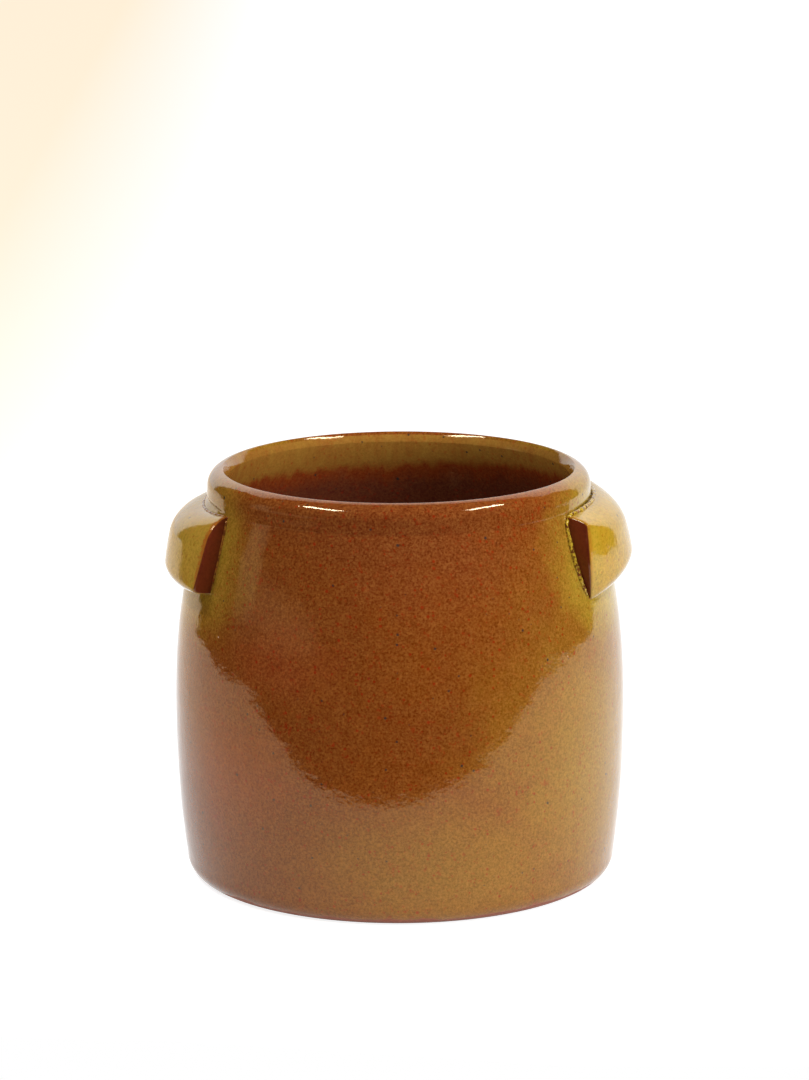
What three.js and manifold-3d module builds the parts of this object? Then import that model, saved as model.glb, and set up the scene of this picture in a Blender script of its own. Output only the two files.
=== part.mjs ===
// A wide stoneware pot, thrown and glazed, with a rolled lip and a solid slab ear on each side.
// Each ear is a slab of clay cut flat at both ends, pressed on the shoulder and luted with a bead
// of slip. Millimetres, +Z up. The origin is the centre of the foot, on the surface it stands on.
// The ears lie along X, and the cut ends of both ears that point to -Y are the front ones.

import * as THREE from 'three';
import { mergeVertices } from 'three/addons/utils/BufferGeometryUtils.js';
import Module from 'manifold-3d';

// Body, outside
const BELLY_RADIUS = 110;
const BELLY_HEIGHT = 85;
const HEEL_RADIUS = 105.1;
const HEEL_HEIGHT = 9.6;
const FOOT_RADIUS = 96.4;
const NECK_RADIUS = 94.2;
const NECK_HEIGHT = 185;
const COLLAR_RADIUS = 93.1;
const COLLAR_BOTTOM = 187.6;
const COLLAR_TOP = 192;
const GROOVE_DEPTH = 0.5;
const POT_HEIGHT = 200.8;

// How far the two long curves of the wall, and the lip's outer curve, run straight before they turn
const HEEL_PULL = { radius: 3.4, height: 25 };
const BELLY_PULL_DOWN = 27;
const BELLY_PULL_UP = 37;
const NECK_PULL = { radius: 10.6, height: 30 };
const COLLAR_PULL = 7.4;
const CREST_PULL = 0.4;

// Body, inside and underneath
const WALL = 8.2;
const LIP_INNER_RADIUS = 83.1;
const LIP_CREST_RADIUS = 85.7;
const LIP_INNER_DROP = 4.8;
const LIP_INNER_POWER = 1.15;
const FLOOR_THICKNESS = 9;
const FLOOR_FILLET = 11;
const FOOT_RING_INNER = 84;
const FOOT_RECESS = 2;
const RECESS_CHAMFER = 2;

// Ears: angles in degrees about +Z from +X, heights of the joint with the wall,
// and thickness over the wall at the low edge, at the top edge and extra in between.
// The rounded edges take a share of the height, and a power under 1 is a fuller edge.
const LEFT_EAR = {
  fromAngle: 153,
  toAngle: 209.8,
  from: { low: 146.5, high: 183, sole: 8.5, crown: 9.2, swell: 1, lowEdge: 0.2, lowPower: 0.7,
    highEdge: 0.34, highPower: 0.6 },
  middle: { low: 144.7, high: 183.2, sole: 10.2, crown: 13.2, swell: 0.6, lowEdge: 0.3, lowPower: 1.05,
    highEdge: 0.34, highPower: 0.5 },
  to: { low: 149.5, high: 186.2, sole: 10.4, crown: 8.2, swell: 0.6, lowEdge: 0.1, lowPower: 0.5,
    highEdge: 0.3, highPower: 0.5 },
  rake: 0,
  bow: 1,
  beadRadius: 1.4,
};
const RIGHT_EAR = {
  fromAngle: -31.2,
  toAngle: 31,
  from: { low: 146, high: 186.2, sole: 0.8, crown: 11.8, swell: 2.4, lowEdge: 0.03, lowPower: 0.5,
    highEdge: 0.08, highPower: 0.5 },
  middle: { low: 147, high: 186.8, sole: 11.2, crown: 12.6, swell: 0.6, lowEdge: 0.38, lowPower: 1.1,
    highEdge: 0.34, highPower: 0.5 },
  to: { low: 147, high: 188.4, sole: 8, crown: 12.4, swell: 1, lowEdge: 0.25, lowPower: 0.7,
    highEdge: 0.14, highPower: 0.45 },
  rake: 1.4,
  bow: 2.2,
  beadRadius: 1.6,
};
const EAR_ROOT = 3;
const END_REACH = 2.2;
const CUT_EDGE_ROUND = 1.1;
const CUT_EDGE_ANGLE = 0.6;

// Beads: how far the coil's centre stands off the joint, as a share of its radius, where it starts
// and stops on a cut end, as a share of the ear's height, and how close to the cuts it turns
const BEAD_STAND = 0.55;
const BEAD_LOW_END = 0.06;
const BEAD_HIGH_TURN = 0.92;
const BEAD_CORNER = 0.03;

// Gap kept between neighbours, and how finely round things are divided
const GAP = 0.3;
const TURN_STEPS = 64;
const BELLY_STEPS = 7;
const SHOULDER_STEPS = 12;
const INSIDE_STEPS = 6;
const CORNER_STEPS = 5;
const LIP_STEPS = 6;
const EAR_STEPS = 14;
const EAR_SECTION_STEPS = 14;
const BEAD_SIDES = 8;
const BEAD_STEPS = 44;
const BEAD_POINTS_UP = 4;
const BEAD_POINTS_ACROSS = 9;

const STONEWARE = { color: 0x93602e, roughness: 0.16, metalness: 0 };
const EAR_GLAZE = { color: 0xa87f34, roughness: 0.16, metalness: 0 };
const SLIP = { color: 0x8f6f2a, roughness: 0.25, metalness: 0 };

const wasm = await Module();
wasm.setup();

function radians(degrees) {
  return degrees * Math.PI / 180;
}

// Solids for cutting, and back to a mesh

function toSolid(geometry) {
  const bare = geometry.clone();
  bare.deleteAttribute('normal');
  bare.deleteAttribute('uv');
  const merged = mergeVertices(bare, 1e-4);
  const vertProperties = new Float32Array(merged.attributes.position.array);
  const triVerts = new Uint32Array(merged.index.array);
  const mesh = new wasm.Mesh({ numProp: 3, vertProperties, triVerts });
  mesh.merge();
  return new wasm.Manifold(mesh);
}

function toGeometry(solid) {
  const mesh = solid.getMesh();
  const geometry = new THREE.BufferGeometry();
  geometry.setAttribute('position', new THREE.BufferAttribute(mesh.vertProperties, 3));
  geometry.setIndex(new THREE.BufferAttribute(mesh.triVerts, 1));
  geometry.computeVertexNormals();
  return geometry;
}

// The wall's outside is two long curves: heel to belly, and belly to neck

function heelToBelly() {
  return new THREE.CubicBezierCurve(
    new THREE.Vector2(HEEL_RADIUS, HEEL_HEIGHT),
    new THREE.Vector2(HEEL_RADIUS + HEEL_PULL.radius, HEEL_HEIGHT + HEEL_PULL.height),
    new THREE.Vector2(BELLY_RADIUS, BELLY_HEIGHT - BELLY_PULL_DOWN),
    new THREE.Vector2(BELLY_RADIUS, BELLY_HEIGHT),
  );
}

function bellyToNeck() {
  return new THREE.CubicBezierCurve(
    new THREE.Vector2(BELLY_RADIUS, BELLY_HEIGHT),
    new THREE.Vector2(BELLY_RADIUS, BELLY_HEIGHT + BELLY_PULL_UP),
    new THREE.Vector2(NECK_RADIUS + NECK_PULL.radius, NECK_HEIGHT - NECK_PULL.height),
    new THREE.Vector2(NECK_RADIUS, NECK_HEIGHT),
  );
}

// The lip leans out over its crest and rounds down into the upright collar
function collarToCrest() {
  return new THREE.CubicBezierCurve(
    new THREE.Vector2(COLLAR_RADIUS, COLLAR_TOP),
    new THREE.Vector2(COLLAR_RADIUS, COLLAR_TOP + COLLAR_PULL),
    new THREE.Vector2(LIP_CREST_RADIUS + CREST_PULL, POT_HEIGHT),
    new THREE.Vector2(LIP_CREST_RADIUS, POT_HEIGHT),
  );
}

const SHOULDER = bellyToNeck();

// Outside radius of the shoulder at a height, by halving the curve until it meets the height
function shoulderRadius(height) {
  let below = 0;
  let above = 1;
  for (let i = 0; i < 30; i += 1) {
    const middle = (below + above) / 2;
    if (SHOULDER.getPoint(middle).y < height) {
      below = middle;
    } else {
      above = middle;
    }
  }
  return SHOULDER.getPoint(below).x;
}

// A quarter of a rounded corner: a power of 2 is an ellipse, and a lower one is nearer a bevel
function quarterTurn(centre, radius, height, fromDegrees, toDegrees, power = 2) {
  const points = [];
  for (let i = 0; i <= CORNER_STEPS; i += 1) {
    const angle = radians(fromDegrees + (toDegrees - fromDegrees) * i / CORNER_STEPS);
    const across = Math.sign(Math.cos(angle)) * Math.abs(Math.cos(angle)) ** (2 / power);
    const up = Math.sign(Math.sin(angle)) * Math.abs(Math.sin(angle)) ** (2 / power);
    points.push(new THREE.Vector2(centre.x + radius * across, centre.y + height * up));
  }
  return points;
}

// The groove under the collar, and the collar's lower edge
function collarOutline() {
  const groove = new THREE.Vector2(COLLAR_RADIUS - GROOVE_DEPTH, (NECK_HEIGHT + COLLAR_BOTTOM) / 2);
  const collar = new THREE.Vector2(COLLAR_RADIUS, COLLAR_BOTTOM);
  return [groove, collar];
}

function outsideOutline() {
  const heelCentre = new THREE.Vector2(FOOT_RADIUS, HEEL_HEIGHT);
  const heel = quarterTurn(heelCentre, HEEL_RADIUS - FOOT_RADIUS, HEEL_HEIGHT, -90, 0);
  const wall = heelToBelly().getPoints(BELLY_STEPS).slice(1);
  const shoulder = bellyToNeck().getPoints(SHOULDER_STEPS).slice(1);
  const lip = collarToCrest().getPoints(LIP_STEPS);
  return [...heel, ...wall, ...shoulder, ...collarOutline(), ...lip];
}

function insideOutline() {
  const lipCentre = new THREE.Vector2(LIP_CREST_RADIUS, POT_HEIGHT - LIP_INNER_DROP);
  const lipWidth = LIP_CREST_RADIUS - LIP_INNER_RADIUS;
  const lip = quarterTurn(lipCentre, lipWidth, LIP_INNER_DROP, 90, 180, LIP_INNER_POWER);
  const shoulder = bellyToNeck().getPoints(INSIDE_STEPS).reverse();
  const inner = shoulder.map((point) => new THREE.Vector2(point.x - WALL, point.y));
  const filletCentre = new THREE.Vector2(HEEL_RADIUS - WALL - FLOOR_FILLET, FLOOR_THICKNESS + FLOOR_FILLET);
  const fillet = quarterTurn(filletCentre, FLOOR_FILLET, FLOOR_FILLET, 0, -90);
  return [...lip.slice(1), ...inner, ...fillet, new THREE.Vector2(0, FLOOR_THICKNESS)];
}

// Under the foot: a flat ring that the pot stands on, round a shallow turned recess
function underside() {
  return [
    new THREE.Vector2(0, FOOT_RECESS),
    new THREE.Vector2(FOOT_RING_INNER - RECESS_CHAMFER, FOOT_RECESS),
    new THREE.Vector2(FOOT_RING_INNER, 0),
  ];
}

function lathe(points) {
  const geometry = new THREE.LatheGeometry(points, TURN_STEPS);
  geometry.rotateX(Math.PI / 2);
  return geometry;
}

function potBody() {
  return lathe([...underside(), ...outsideOutline(), ...insideOutline()]);
}

// The shoulder and collar as a solid plug, larger by the gap, that what sits on them is cut with
function wallCutter() {
  const shoulder = bellyToNeck().getPoints(SHOULDER_STEPS);
  const outline = [...shoulder, ...collarOutline(), new THREE.Vector2(COLLAR_RADIUS, POT_HEIGHT)];
  const grown = outline.map((point) => new THREE.Vector2(point.x + GAP, point.y));
  const bottom = new THREE.Vector2(0, BELLY_HEIGHT);
  const top = new THREE.Vector2(0, POT_HEIGHT);
  return toSolid(lathe([bottom, ...grown, top]));
}

// One ear: sections in radial planes, blended from one cut end over the middle to the other

function blend(a, b, share) {
  const mixed = {};
  for (const key of Object.keys(a)) {
    mixed[key] = a[key] * (1 - share) + b[key] * share;
  }
  return mixed;
}

function earShape(ear, along) {
  const end = along < 0.5 ? ear.from : ear.to;
  const fromMiddle = Math.abs(2 * along - 1);
  return blend(ear.middle, end, fromMiddle ** END_REACH);
}

// The cut ends lean, so the top of a cut stands further from the ear's middle than its bottom,
// and bow outward at half their height
function cutLean(ear, along, share) {
  const lean = ear.rake * (2 * share - 1) + ear.bow * 4 * share * (1 - share);
  return (2 * along - 1) * lean;
}

function roundedEdge(distance, edge, power) {
  if (distance >= edge) {
    return 1;
  }
  return (1 - (1 - distance / edge) ** 2) ** power;
}

function earThickness(shape, share) {
  const slab = shape.sole + (shape.crown - shape.sole) * share + shape.swell * 4 * share * (1 - share);
  const low = roundedEdge(share, shape.lowEdge, shape.lowPower);
  const high = roundedEdge(1 - share, shape.highEdge, shape.highPower);
  return slab * low * high;
}

function earSection(ear, along, inset, grow) {
  const shape = earShape(ear, along);
  const lowest = shape.low + inset - grow;
  const highest = shape.high - inset + grow;
  const face = [];
  const root = [];
  for (let i = 0; i <= EAR_SECTION_STEPS; i += 1) {
    const share = (1 - Math.cos(Math.PI * i / EAR_SECTION_STEPS)) / 2;
    const height = lowest + (highest - lowest) * share;
    const proud = Math.max(earThickness(shape, share) - inset, 0) + grow;
    face.push({ radius: shoulderRadius(height) + proud, height, share });
    root.push({ radius: shoulderRadius(height) - EAR_ROOT, height, share });
  }
  return [...face, ...root.reverse()];
}

function earStations(ear, grow) {
  const growAngle = grow / BELLY_RADIUS * 180 / Math.PI;
  const first = ear.fromAngle - growAngle;
  const last = ear.toAngle + growAngle;
  const stations = [{ angle: first, along: 0, inset: CUT_EDGE_ROUND }];
  for (let i = 0; i <= EAR_STEPS; i += 1) {
    const along = i / EAR_STEPS;
    const start = first + CUT_EDGE_ANGLE;
    const finish = last - CUT_EDGE_ANGLE;
    stations.push({ angle: start + (finish - start) * along, along, inset: 0 });
  }
  stations.push({ angle: last, along: 1, inset: CUT_EDGE_ROUND });
  return stations;
}

// Each ring runs up the face and back down the root, so a cut end is closed in level strips
function loft(rings) {
  const sides = rings[0].length;
  const positions = rings.flat().flatMap((point) => [point.x, point.y, point.z]);
  const index = [];
  for (let ring = 0; ring < rings.length - 1; ring += 1) {
    for (let side = 0; side < sides; side += 1) {
      const next = (side + 1) % sides;
      const a = ring * sides + side;
      const b = ring * sides + next;
      index.push(a, a + sides, b + sides, a, b + sides, b);
    }
  }
  const lastRing = (rings.length - 1) * sides;
  for (let low = 0; low < sides / 2 - 1; low += 1) {
    const lowRoot = sides - 1 - low;
    for (const [a, b, c] of [[low, low + 1, lowRoot - 1], [low, lowRoot - 1, lowRoot]]) {
      index.push(a, b, c);
      index.push(lastRing + a, lastRing + c, lastRing + b);
    }
  }
  const geometry = new THREE.BufferGeometry();
  geometry.setAttribute('position', new THREE.Float32BufferAttribute(positions, 3));
  geometry.setIndex(index);
  return geometry;
}

function earSlab(ear, grow) {
  const rings = earStations(ear, grow).map((station) => {
    const section = earSection(ear, station.along, station.inset, grow);
    return section.map((point) => {
      const turn = radians(station.angle + cutLean(ear, station.along, point.share));
      return new THREE.Vector3(point.radius * Math.cos(turn), point.radius * Math.sin(turn), point.height);
    });
  });
  return toSolid(loft(rings));
}

// The luting bead: a round coil along both cut ends and the top of an ear, cut to its corner

// Each place on the path is a share of the way along the ear and of the way up it
function beadPlaces() {
  const up = [];
  for (let i = 0; i < BEAD_POINTS_UP; i += 1) {
    up.push(BEAD_LOW_END + (BEAD_HIGH_TURN - BEAD_LOW_END) * i / (BEAD_POINTS_UP - 1));
  }
  const across = [];
  for (let i = 0; i < BEAD_POINTS_ACROSS; i += 1) {
    across.push(BEAD_CORNER + (1 - 2 * BEAD_CORNER) * i / (BEAD_POINTS_ACROSS - 1));
  }
  return [
    ...up.map((share) => ({ along: 0, share })),
    ...across.map((along) => ({ along, share: 1 })),
    ...up.reverse().map((share) => ({ along: 1, share })),
  ];
}

function beadPath(ear) {
  const stand = ear.beadRadius * BEAD_STAND;
  const standAngle = stand / BELLY_RADIUS * 180 / Math.PI;
  return beadPlaces().map(({ along, share }) => {
    const shape = earShape(ear, along);
    const onTop = share === 1;
    const height = shape.low + (shape.high - shape.low) * share + (onTop ? stand : 0);
    const past = onTop ? 0 : standAngle * Math.sign(along - 0.5);
    const angle = ear.fromAngle + (ear.toAngle - ear.fromAngle) * along + past;
    const turn = radians(angle + cutLean(ear, along, share));
    const radius = shoulderRadius(height) + stand;
    return new THREE.Vector3(radius * Math.cos(turn), radius * Math.sin(turn), height);
  });
}

function beadCoil(ear) {
  const corners = [];
  for (let i = 0; i < BEAD_SIDES; i += 1) {
    const angle = 2 * Math.PI * i / BEAD_SIDES;
    corners.push(new THREE.Vector2(ear.beadRadius * Math.cos(angle), ear.beadRadius * Math.sin(angle)));
  }
  const path = new THREE.CatmullRomCurve3(beadPath(ear), false, 'centripetal');
  const section = new THREE.Shape(corners);
  return toSolid(new THREE.ExtrudeGeometry(section, { steps: BEAD_STEPS, extrudePath: path }));
}

function add(group, name, geometry, look) {
  const mesh = new THREE.Mesh(geometry, new THREE.MeshStandardMaterial(look));
  mesh.name = name;
  group.add(mesh);
}

const pot = new THREE.Group();
const cutter = wallCutter();

add(pot, 'pot_body', potBody(), STONEWARE);
for (const [side, ear] of [['left', LEFT_EAR], ['right', RIGHT_EAR]]) {
  add(pot, `${side}_ear`, toGeometry(earSlab(ear, 0).subtract(cutter)), EAR_GLAZE);
  const bead = beadCoil(ear).subtract(cutter).subtract(earSlab(ear, GAP));
  add(pot, `${side}_luting_bead`, toGeometry(bead), SLIP);
}

export default pot;
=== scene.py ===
import math

import bpy
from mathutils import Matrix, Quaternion, Vector


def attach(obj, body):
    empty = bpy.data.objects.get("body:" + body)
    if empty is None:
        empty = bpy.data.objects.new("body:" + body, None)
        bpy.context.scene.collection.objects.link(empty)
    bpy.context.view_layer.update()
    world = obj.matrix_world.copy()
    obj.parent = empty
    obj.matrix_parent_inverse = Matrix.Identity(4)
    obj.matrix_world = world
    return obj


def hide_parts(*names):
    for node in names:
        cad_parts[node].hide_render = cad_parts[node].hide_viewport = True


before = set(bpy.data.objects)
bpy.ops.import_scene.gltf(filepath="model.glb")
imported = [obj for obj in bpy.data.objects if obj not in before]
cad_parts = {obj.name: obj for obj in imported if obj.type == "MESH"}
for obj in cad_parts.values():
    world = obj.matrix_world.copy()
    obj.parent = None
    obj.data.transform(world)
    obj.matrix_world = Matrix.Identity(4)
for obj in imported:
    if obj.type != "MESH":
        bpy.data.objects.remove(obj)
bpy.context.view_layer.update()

# ----------------------------------------------------------------------
# The pot: stoneware thrown on a wheel in one piece, with a flat floor, a wall that swells to the
# belly and draws in to the neck, and a thick rounded lip. It is dipped in a honey glaze full of
# iron flecks, and its foot is wiped bare. Metres; the axis is Z and the front is -Y.
# ----------------------------------------------------------------------
ROOM_FOR_GLAZE = 0.00015
BELLY_RADIUS = 0.110 - ROOM_FOR_GLAZE
BELLY_HEIGHT = 0.085
HEEL_RADIUS = 0.1051
HEEL_HEIGHT = 0.0096
FOOT_RADIUS = 0.0964
NECK_RADIUS = 0.0942
NECK_HEIGHT = 0.185
COLLAR_RADIUS = 0.0931
COLLAR_BOTTOM = 0.1876
COLLAR_TOP = 0.192
COLLAR_LEAN = 0.0004
GROOVE_DEPTH = 0.0011
POT_HEIGHT = 0.2008 - ROOM_FOR_GLAZE / 3
WALL = 0.0082
LIP_CREST_RADIUS = 0.0857
LIP_INNER_RADIUS = 0.0829
LIP_INNER_DROP = 0.0048
LIP_INNER_POWER = 1.25
FLOOR_THICKNESS = 0.009
FLOOR_FILLET = 0.011
FLOOR_RINGS = (0, 0.006, 0.02, 0.036, 0.052, 0.066, 0.078)
FOOT_RING_INNER = 0.084
FOOT_RECESS = 0.002
FOOT_RING_POINTS = (0.0915, 0.0865)
RECESS_CHAMFER = 0.002
RECESS_RINGS = (0.07, 0.05, 0.03, 0.012, 0)

# Each long curve is given by its ends and the two points that pull it
LOWER_WALL = [
    (HEEL_RADIUS, HEEL_HEIGHT), (HEEL_RADIUS + 0.0034, HEEL_HEIGHT + 0.025),
    (BELLY_RADIUS, BELLY_HEIGHT - 0.027), (BELLY_RADIUS, BELLY_HEIGHT),
]
UPPER_WALL = [
    (BELLY_RADIUS, BELLY_HEIGHT), (BELLY_RADIUS, BELLY_HEIGHT + 0.037),
    (NECK_RADIUS + 0.0106, NECK_HEIGHT - 0.030), (NECK_RADIUS, NECK_HEIGHT),
]
# The lip leans out over its crest and rounds down into the upright collar
LIP_SLOPE = [
    (LIP_CREST_RADIUS, POT_HEIGHT), (LIP_CREST_RADIUS + 0.0006, POT_HEIGHT),
    (COLLAR_RADIUS, COLLAR_TOP + 0.0074), (COLLAR_RADIUS, COLLAR_TOP),
]


def along_curve(pulls, share):
    """A point of a cubic curve, as (radius, height)."""
    rest = 1 - share
    weights = (rest ** 3, 3 * rest * rest * share, 3 * rest * share * share, share ** 3)
    return tuple(sum(w * pull[axis] for w, pull in zip(weights, pulls)) for axis in (0, 1))


def curve_points(pulls, steps, inset=0.0):
    return [(r - inset, z) for r, z in (along_curve(pulls, i / steps) for i in range(steps + 1))]


def quarter_turn(centre, across, up, start, end, steps, power=2.0):
    """A rounded corner: a power of 2 is an ellipse, and a lower one is nearer a bevel."""
    points = []
    for i in range(steps + 1):
        angle = math.radians(start + (end - start) * i / steps)
        c = math.copysign(abs(math.cos(angle)) ** (2 / power), math.cos(angle))
        s = math.copysign(abs(math.sin(angle)) ** (2 / power), math.sin(angle))
        points.append((centre[0] + across * c, centre[1] + up * s))
    return points


def pot_inside():
    floor = [(r, FLOOR_THICKNESS) for r in FLOOR_RINGS]
    centre = (HEEL_RADIUS - WALL - FLOOR_FILLET, FLOOR_THICKNESS + FLOOR_FILLET)
    fillet = quarter_turn(centre, FLOOR_FILLET, FLOOR_FILLET, -90, 0, 8)
    low = (centre[0] + FLOOR_FILLET, centre[1])
    belly = (BELLY_RADIUS - WALL, BELLY_HEIGHT)
    lower = curve_points([low, (low[0] + 0.002, 0.042), (belly[0], 0.064), belly], 12)[1:]
    upper = curve_points(UPPER_WALL, 26, WALL)[1:]
    lip_centre = (LIP_CREST_RADIUS, POT_HEIGHT - LIP_INNER_DROP)
    lip_width = LIP_CREST_RADIUS - LIP_INNER_RADIUS
    lip = quarter_turn(lip_centre, lip_width, LIP_INNER_DROP, 180, 90, 14, LIP_INNER_POWER)
    return floor + fillet + lower + upper + lip


def pot_outside():
    lip = curve_points(LIP_SLOPE, 26)[1:]
    under = (COLLAR_RADIUS + COLLAR_LEAN, COLLAR_BOTTOM)
    collar = [(COLLAR_RADIUS + COLLAR_LEAN * i / 4, COLLAR_TOP + (COLLAR_BOTTOM - COLLAR_TOP) * i / 4)
              for i in range(1, 4)]
    neck = curve_points([under, (0.0934, 0.1868), (0.0938, 0.1859), UPPER_WALL[-1]], 6)[:-1]
    upper = curve_points(UPPER_WALL, 42)[::-1]
    lower = curve_points(LOWER_WALL, 30)[::-1][1:]
    heel_centre = (FOOT_RADIUS, HEEL_HEIGHT)
    heel = quarter_turn(heel_centre, HEEL_RADIUS - FOOT_RADIUS, HEEL_HEIGHT, 0, -90, 12)[1:]
    ring = [(r, 0) for r in (*FOOT_RING_POINTS, FOOT_RING_INNER)]
    recess = [(r, FOOT_RECESS) for r in (FOOT_RING_INNER - RECESS_CHAMFER, *RECESS_RINGS)]
    return lip + collar + neck + upper + lower + heel + ring + recess


def put(tree, kind, feeds=None, **settings):
    """Adds a node. Feeds are values or other nodes' outputs, by the name or number of the input."""
    node = tree.nodes.new(kind)
    for name, value in settings.items():
        setattr(node, name, value)
    for name, feed in (feeds or {}).items():
        if isinstance(feed, bpy.types.NodeSocket):
            tree.links.new(feed, node.inputs[name])
        else:
            node.inputs[name].default_value = feed
    return node


def maths(tree, operation, *feeds, clamp=False):
    """A Math node of a shader or geometry tree."""
    numbered = dict(enumerate(feeds))
    return put(tree, "ShaderNodeMath", numbered, operation=operation, use_clamp=clamp).outputs[0]


def new_tree(name, kind, inputs, outputs):
    """A node group with named inputs, each with its start value, and named outputs."""
    tree = bpy.data.node_groups.new(name, kind)
    for label, socket, value in inputs:
        made = tree.interface.new_socket(label, in_out="INPUT", socket_type=socket)
        if value is not None:
            made.default_value = value
    for label, socket in outputs:
        tree.interface.new_socket(label, in_out="OUTPUT", socket_type=socket)
    return tree, tree.nodes.new("NodeGroupInput").outputs, tree.nodes.new("NodeGroupOutput").inputs


def turn_on_the_wheel():
    """Geometry nodes that turn an outline about Z, with a thrower's rings and a glaze's swells."""
    tree, given, result = new_tree("turned_on_the_wheel", "GeometryNodeTree", [
        ("Outline", "NodeSocketGeometry", None),
        ("Steps round", "NodeSocketInt", 64),
        ("Ring depth", "NodeSocketFloat", 0.0),
        ("Ring spacing", "NodeSocketFloat", 0.01),
        ("Swell depth", "NodeSocketFloat", 0.0),
        ("Swell width", "NodeSocketFloat", 0.01),
        ("Groove depth", "NodeSocketFloat", 0.0),
        ("Groove height", "NodeSocketFloat", 0.0),
        ("Groove width", "NodeSocketFloat", 0.001),
        ("Seed", "NodeSocketFloat", 0.0),
        ("Glaze", "NodeSocketMaterial", None),
    ], [("Mesh", "NodeSocketGeometry")])
    rows = put(tree, "GeometryNodeAttributeDomainSize", {0: given["Outline"]}, component="MESH")
    columns = maths(tree, "ADD", given["Steps round"], 1.0)
    grid = put(tree, "GeometryNodeMeshGrid", {
        "Vertices X": rows.outputs["Point Count"], "Vertices Y": columns,
    })
    index = put(tree, "GeometryNodeInputIndex").outputs[0]
    row = maths(tree, "FLOOR", maths(tree, "DIVIDE", index, columns))
    column = maths(tree, "SUBTRACT", index, maths(tree, "MULTIPLY", row, columns))
    angle = maths(tree, "MULTIPLY", maths(tree, "DIVIDE", column, given["Steps round"]), 2 * math.pi)
    position = put(tree, "GeometryNodeInputPosition").outputs[0]
    spot = put(tree, "GeometryNodeSampleIndex", {0: given["Outline"], "Value": position, "Index": row},
               data_type="FLOAT_VECTOR")
    level = put(tree, "ShaderNodeSeparateXYZ", {0: spot.outputs[0]})
    cosine = maths(tree, "COSINE", angle)
    sine = maths(tree, "SINE", angle)
    # The rings run level round the pot, so they hardly change with the angle
    ring_spot = put(tree, "ShaderNodeCombineXYZ", {
        0: maths(tree, "MULTIPLY", cosine, 0.35),
        1: maths(tree, "MULTIPLY", sine, 0.35),
        2: maths(tree, "DIVIDE", level.outputs["Z"], given["Ring spacing"]),
    })
    rings = put(tree, "ShaderNodeTexNoise", {
        "Vector": ring_spot.outputs[0], "W": given["Seed"], "Scale": 1.0, "Detail": 1.0,
    }, noise_dimensions="4D")
    swell_spot = put(tree, "ShaderNodeCombineXYZ", {
        0: maths(tree, "MULTIPLY", level.outputs["X"], cosine),
        1: maths(tree, "MULTIPLY", level.outputs["X"], sine),
        2: level.outputs["Z"],
    })
    swells = put(tree, "ShaderNodeTexNoise", {
        "Vector": swell_spot.outputs[0], "W": given["Seed"],
        "Scale": maths(tree, "DIVIDE", 1.0, given["Swell width"]), "Detail": 2.0,
    }, noise_dimensions="4D")
    ring_fall = maths(tree, "MULTIPLY", rings.outputs[0], given["Ring depth"])
    swell_fall = maths(tree, "MULTIPLY", swells.outputs[0], given["Swell depth"])
    # Flat places near the axis and the standing ring stay as they are
    fade_in = put(tree, "ShaderNodeMapRange", {0: level.outputs["X"], 1: 0.070, 2: 0.082, 3: 0.0, 4: 1.0})
    fade_up = put(tree, "ShaderNodeMapRange", {0: level.outputs["Z"], 1: 0.0005, 2: 0.012, 3: 0.0, 4: 1.0})
    fade = maths(tree, "MULTIPLY", fade_in.outputs[0], fade_up.outputs[0])
    fall = maths(tree, "MULTIPLY", maths(tree, "ADD", ring_fall, swell_fall), fade)
    # The groove under the collar is sharp by the ears and smoothed away at the front and back
    over_groove = maths(tree, "SUBTRACT", level.outputs["Z"], given["Groove height"])
    groove = put(tree, "ShaderNodeMapRange", {
        0: maths(tree, "ABSOLUTE", over_groove), 1: 0.0, 2: given["Groove width"], 3: 1.0, 4: 0.0,
    }, interpolation_type="SMOOTHSTEP")
    by_ears = put(tree, "ShaderNodeMapRange", {
        0: maths(tree, "ABSOLUTE", cosine), 1: 0.88, 2: 0.97, 3: 0.0, 4: 1.0,
    }, interpolation_type="SMOOTHSTEP")
    outer = put(tree, "ShaderNodeMapRange", {0: level.outputs["X"], 1: 0.0905, 2: 0.0915, 3: 0.0, 4: 1.0})
    groove_there = maths(tree, "MULTIPLY", groove.outputs[0], by_ears.outputs[0])
    groove_outside = maths(tree, "MULTIPLY", groove_there, outer.outputs[0])
    groove_fall = maths(tree, "MULTIPLY", groove_outside, given["Groove depth"])
    radius = maths(tree, "SUBTRACT", level.outputs["X"], maths(tree, "ADD", fall, groove_fall))
    place = put(tree, "ShaderNodeCombineXYZ", {
        0: maths(tree, "MULTIPLY", radius, cosine),
        1: maths(tree, "MULTIPLY", radius, sine),
        2: level.outputs["Z"],
    })
    turned = put(tree, "GeometryNodeSetPosition", {0: grid.outputs["Mesh"], "Position": place.outputs[0]})
    # Each point remembers whether it is inside the pot
    side = put(tree, "GeometryNodeInputNamedAttribute", {"Name": "inside"}, data_type="FLOAT")
    side_there = put(tree, "GeometryNodeSampleIndex", {
        0: given["Outline"], "Value": side.outputs[0], "Index": row,
    }, data_type="FLOAT")
    marked = put(tree, "GeometryNodeStoreNamedAttribute", {
        0: turned.outputs[0], "Name": "inside", "Value": side_there.outputs[0],
    }, data_type="FLOAT", domain="POINT")
    closed = put(tree, "GeometryNodeMergeByDistance", {0: marked.outputs[0], "Distance": 1e-6})
    smooth = put(tree, "GeometryNodeSetShadeSmooth", {0: closed.outputs[0]})
    real = put(tree, "GeometryNodeRealizeInstances", {0: smooth.outputs[0]})
    glazed = put(tree, "GeometryNodeSetMaterial", {0: real.outputs[0], "Material": given["Glaze"]})
    tree.links.new(glazed.outputs[0], result[0])
    return tree


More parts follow.
